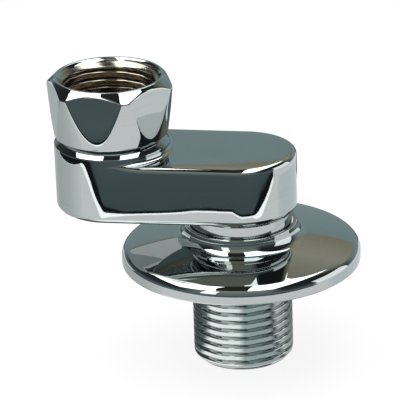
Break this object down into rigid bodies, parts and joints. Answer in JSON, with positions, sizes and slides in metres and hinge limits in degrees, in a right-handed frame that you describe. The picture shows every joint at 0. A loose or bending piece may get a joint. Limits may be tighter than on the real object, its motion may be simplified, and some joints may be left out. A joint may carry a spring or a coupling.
{
  "type": "eccentric pipe fitting",
  "caption": "Chrome-plated offset pipe union: a flat arm joins a threaded wall stub to a captive hexagon nut on a parallel axis; a domed rosette slides on the stub to cover the wall hole.",
  "frame": {"origin": "on the wall stub's axis, at the wall plane where the rosette's rim rests", "axes": "+Z along the stub away from the wall, -X from the stub's axis towards the union nut's axis"},
  "size_m": [0.0649, 0.05, 0.0617],
  "materials": {
    "chrome_body": "polished chrome plate on cast brass",
    "chrome_nut": "polished chrome plate on brass",
    "chrome_rosette": "polished chrome plate on spun brass sheet",
    "tail_brass": "turned, unplated",
    "fibre": "pressed fibre, matt"
  },
  "bodies": {
    "fitting": {"body": "chrome_body", "union_tail": "tail_brass", "sealing_washer": "fibre"},
    "nut": {"union_nut": "chrome_nut"},
    "cover": {"rosette": "chrome_rosette"}
  },
  "joints": [
    {"name": "nut_turn", "type": "hinge", "parent": "fitting", "child": "nut", "pos_m": [-0.0265, 0, 0.0335], "axis": [0, 0, 1], "continuous": true},
    {"name": "rosette_slide", "type": "slide", "parent": "fitting", "child": "cover", "axis": [0, 0, -1], "range_m": [-0.002, 0.02]}
  ]
}
